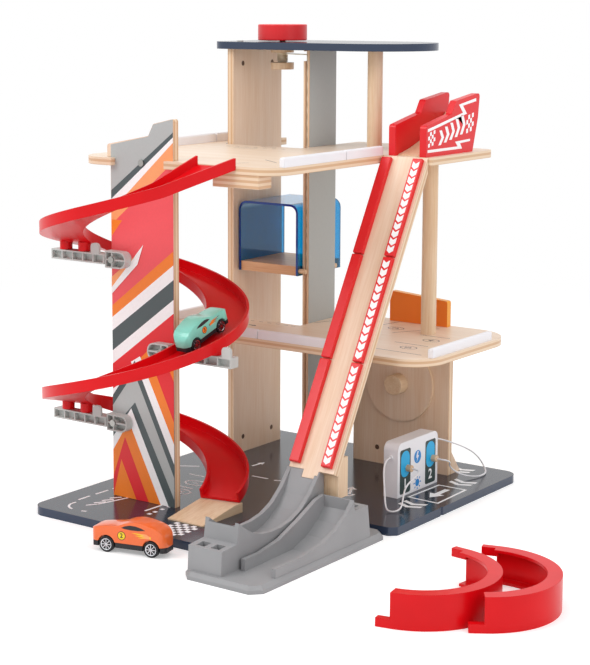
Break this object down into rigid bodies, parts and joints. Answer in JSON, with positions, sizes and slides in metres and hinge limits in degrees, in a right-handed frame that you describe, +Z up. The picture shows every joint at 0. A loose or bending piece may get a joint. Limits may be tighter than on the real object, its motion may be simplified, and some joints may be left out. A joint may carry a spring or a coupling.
{
  "type": "toy parking garage with lift",
  "caption": "Wooden toy car park with a crank lift, spiral track, launch ramp with a jump base and loop halves, charging post and toy cars.",
  "frame": {"origin": "centre of the base board's underside, on the floor", "axes": "+X along the board's front edge to the right, +Y to its back edge, +Z up; the lift stands at the back left, the ramp runs down towards -Y on the right"},
  "size_m": [0.69, 0.546, 0.5655],
  "materials": {
    "ply": "satin clear lacquer on birch plywood and solid wood",
    "navy_paint": "plywood with navy paint, grey-blue printed top",
    "panel_print": "plywood with a printed racing-stripe face",
    "red_plastic": "moulded gloss plastic",
    "red_wood": "painted wood",
    "white_wood": "painted wood",
    "orange_wood": "painted wood",
    "grey_plastic": "moulded matt plastic",
    "blue_acrylic": "clear tinted acrylic",
    "white_block": "painted wood block",
    "cord_white": "soft elastic cord",
    "string_tan": "twisted string",
    "steel": "zinc-plated steel",
    "car_orange": "gloss painted",
    "car_mint": "gloss painted",
    "car_dark": "matt plastic",
    "wheel_dark": "wheel with a dark rim"
  },
  "bodies": {
    "garage": {"barrel_nuts": "steel", "base_board": "navy_paint", "bracket_lower": "grey_plastic", "bracket_middle": "grey_plastic", "bracket_screws": "steel", "bracket_upper": "grey_plastic", "charger_body": "white_block", "exit_wedge": "ply", "frame_bolts": "steel", "garage_wall": "ply", "helipad_plate": "navy_paint", "jump_base": "grey_plastic", "lift_board_left": "ply", "lift_board_right": "ply", "lift_string": "string_tan", "middle_deck": "ply", "middle_post": "ply", "middle_rails": "white_wood", "orange_fence": "orange_wood", "ramp_plank": "ply", "ramp_prop": "ply", "ramp_rails_left": "red_wood", "ramp_rails_right": "red_wood", "spiral_panel": "panel_print", "spiral_top_block": "ply", "start_board_left": "red_wood", "start_board_right": "red_wood", "start_chute": "ply", "track_exit": "red_plastic", "track_second": "red_plastic", "track_third": "red_plastic", "track_upper": "red_plastic", "upper_deck": "ply", "upper_post": "ply", "upper_rails": "white_wood", "wall_brace": "ply"},
    "lift_cabin": {"cabin_shell": "blue_acrylic", "cabin_floor": "ply", "cabin_pins": "ply"},
    "lift_crank": {"lift_knob": "red_wood", "lift_spindle": "ply", "lift_spool": "ply"},
    "turntable": {"turn_disc": "ply", "disc_knob": "ply", "disc_axle": "ply"},
    "plug_one": {"plug_1": "ply", "cord_1": "cord_white"},
    "plug_two": {"plug_2": "ply", "cord_2": "cord_white"},
    "loop_a": {"loop_half_a": "red_plastic"},
    "loop_b": {"loop_half_b": "red_plastic"},
    "orange_car": {"orange_car_body": "car_orange", "orange_car_chassis": "car_dark"},
    "orange_front_wheels": {"orange_car_wheels_front": "wheel_dark"},
    "orange_rear_wheels": {"orange_car_wheels_rear": "wheel_dark"},
    "mint_car": {"mint_car_body": "car_mint", "mint_car_chassis": "car_dark"},
    "mint_front_wheels": {"mint_car_wheels_front": "wheel_dark"},
    "mint_rear_wheels": {"mint_car_wheels_rear": "wheel_dark"}
  },
  "joints": [
    {"name": "lift_travel", "type": "slide", "parent": "garage", "child": "lift_cabin", "axis": [0, 0, 1], "range_m": [-0.2422, 0.1502]},
    {"name": "crank_turn", "type": "hinge", "parent": "garage", "child": "lift_crank", "pos_m": [-0.101, 0.137, 0.535], "axis": [0, 0, 1], "range_deg": [-1342.9, 2166.5]},
    {"name": "disc_turn", "type": "hinge", "parent": "garage", "child": "turntable", "pos_m": [0.06, 0.17, 0.119], "axis": [0, -1, 0], "continuous": true},
    {"name": "plug_one_pull", "type": "slide", "parent": "garage", "child": "plug_one", "axis": [1, 0, 0], "range_m": [0, 0.012]},
    {"name": "plug_two_pull", "type": "slide", "parent": "garage", "child": "plug_two", "axis": [1, 0, 0], "range_m": [0, 0.012]},
    {"name": "loop_a_lift", "type": "slide", "parent": "garage", "child": "loop_a", "axis": [0, 0, 1], "range_m": [0, 0.15]},
    {"name": "loop_b_lift", "type": "slide", "parent": "garage", "child": "loop_b", "axis": [0, 0, 1], "range_m": [0, 0.15]},
    {"name": "orange_car_lift", "type": "slide", "parent": "garage", "child": "orange_car", "axis": [0, 0, 1], "range_m": [0, 0.15]},
    {"name": "orange_front_roll", "type": "hinge", "parent": "orange_car", "child": "orange_front_wheels", "pos_m": [0.02122, -0.26654, 0.009], "axis": [-0.2394, 0.9709, 0], "continuous": true},
    {"name": "orange_rear_roll", "type": "hinge", "parent": "orange_car", "child": "orange_rear_wheels", "pos_m": [-0.03121, -0.27946, 0.009], "axis": [-0.2394, 0.9709, 0], "continuous": true},
    {"name": "mint_car_lift", "type": "slide", "parent": "garage", "child": "mint_car", "axis": [0, 0, 1], "range_m": [0, 0.12]},
    {"name": "mint_front_roll", "type": "hinge", "parent": "mint_car", "child": "mint_front_wheels", "pos_m": [-0.0119, -0.16575, 0.21316], "axis": [0.9994, -0.0349, 0], "continuous": true},
    {"name": "mint_rear_roll", "type": "hinge", "parent": "mint_car", "child": "mint_rear_wheels", "pos_m": [-0.01039, -0.12247, 0.2284], "axis": [0.9994, -0.0349, 0], "continuous": true}
  ],
  "couplings": [
    {"joint": "lift_travel", "follows": "crank_turn", "m_per_rad": -0.0064}
  ]
}
